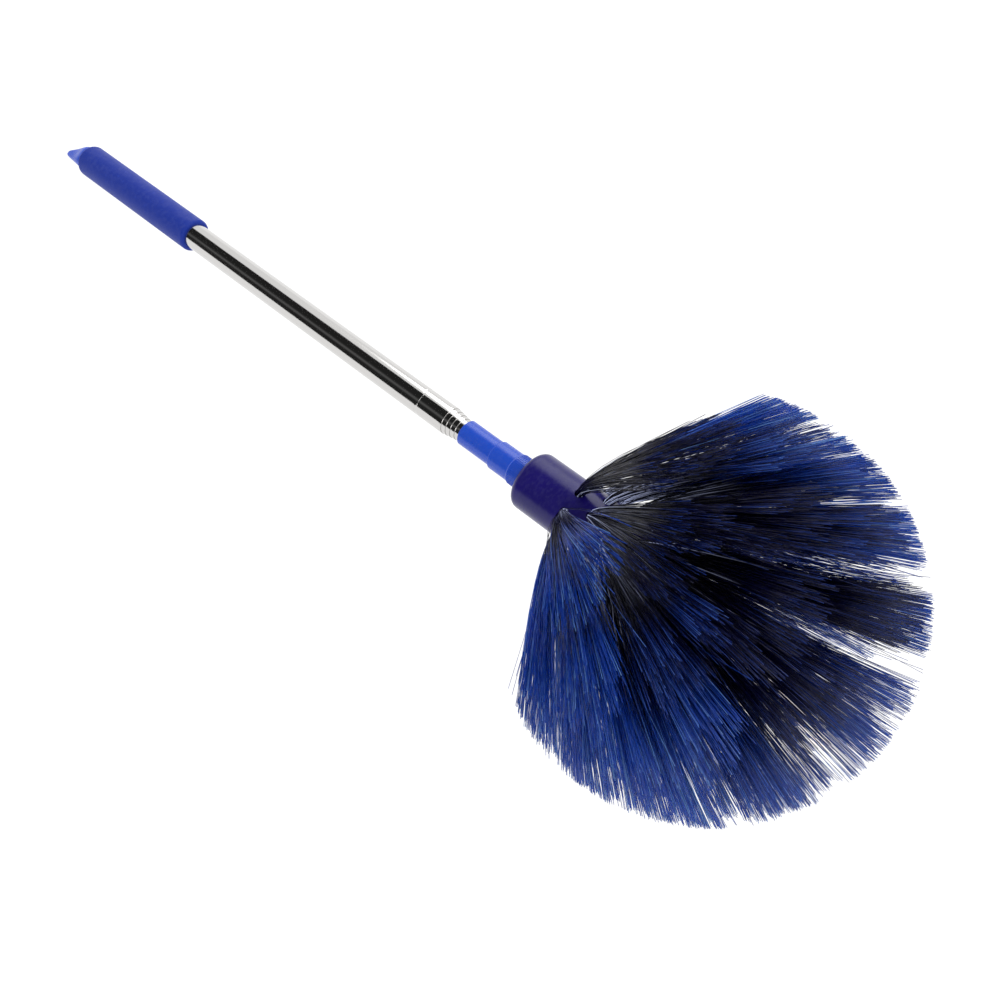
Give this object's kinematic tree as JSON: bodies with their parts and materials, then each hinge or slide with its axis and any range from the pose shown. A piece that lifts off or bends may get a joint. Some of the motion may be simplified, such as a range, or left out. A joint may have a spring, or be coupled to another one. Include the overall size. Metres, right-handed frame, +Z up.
{
  "type": "cobweb brush",
  "caption": "Long-handled cobweb brush: a ball-shaped bristle head screwed to a telescopic steel handle with a soft grip and a hanging cap",
  "frame": {"origin": "on the floor, under the middle of the lying brush's bounding box", "axes": "+Z up, +X along the brush towards the bristles, which lie on the floor with the grip's rear end"},
  "size_m": [0.8575, 0.2774, 0.2764],
  "materials": {
    "cap_plastic": "bright blue moulded plastic",
    "grip_foam": "matte blue soft grip",
    "tube_steel": "polished stainless steel",
    "shim_brass": "rolled spring brass",
    "adapter_plastic": "bright blue moulded plastic, fine ribs",
    "hub_plastic": "dark violet-blue moulded plastic",
    "bristle_filament": "translucent blue polyester filament",
    "staple_wire": "flat anchor wire"
  },
  "bodies": {
    "handle": {"hang_cap": "cap_plastic", "grip_sleeve": "grip_foam", "outer_tube": "tube_steel"},
    "section_2": {"tube_2": "tube_steel", "shim_2": "shim_brass"},
    "section_3": {"tube_3": "tube_steel", "shim_3": "shim_brass"},
    "section_4": {"tube_4": "tube_steel", "shim_4": "shim_brass"},
    "section_5": {"tube_5": "tube_steel", "shim_5": "shim_brass", "head_adapter": "adapter_plastic"},
    "head": {"hub": "hub_plastic", "tufts_row_1": "bristle_filament", "tufts_row_2": "bristle_filament", "tufts_row_3": "bristle_filament", "tufts_row_4": "bristle_filament", "tufts_front_ring": "bristle_filament", "tuft_centre": "bristle_filament", "staples_row_1": "staple_wire", "staples_row_2": "staple_wire", "staples_row_3": "staple_wire", "staples_row_4": "staple_wire", "staples_front_ring": "staple_wire", "staple_centre": "staple_wire"}
  },
  "joints": [
    {"name": "slide_2", "type": "slide", "parent": "handle", "child": "section_2", "axis": [0.9844, 0, 0.1762], "range_m": [0, 0.396]},
    {"name": "slide_3", "type": "slide", "parent": "section_2", "child": "section_3", "axis": [0.9844, 0, 0.1762], "range_m": [0, 0.382]},
    {"name": "slide_4", "type": "slide", "parent": "section_3", "child": "section_4", "axis": [0.9844, 0, 0.1762], "range_m": [0, 0.368]},
    {"name": "slide_5", "type": "slide", "parent": "section_4", "child": "section_5", "axis": [0.9844, 0, 0.1762], "range_m": [0, 0.354]},
    {"name": "head_turn", "type": "hinge", "parent": "section_5", "child": "head", "pos_m": [0.14042, 0, 0.11054], "axis": [0.9844, 0, 0.1762], "continuous": true}
  ]
}
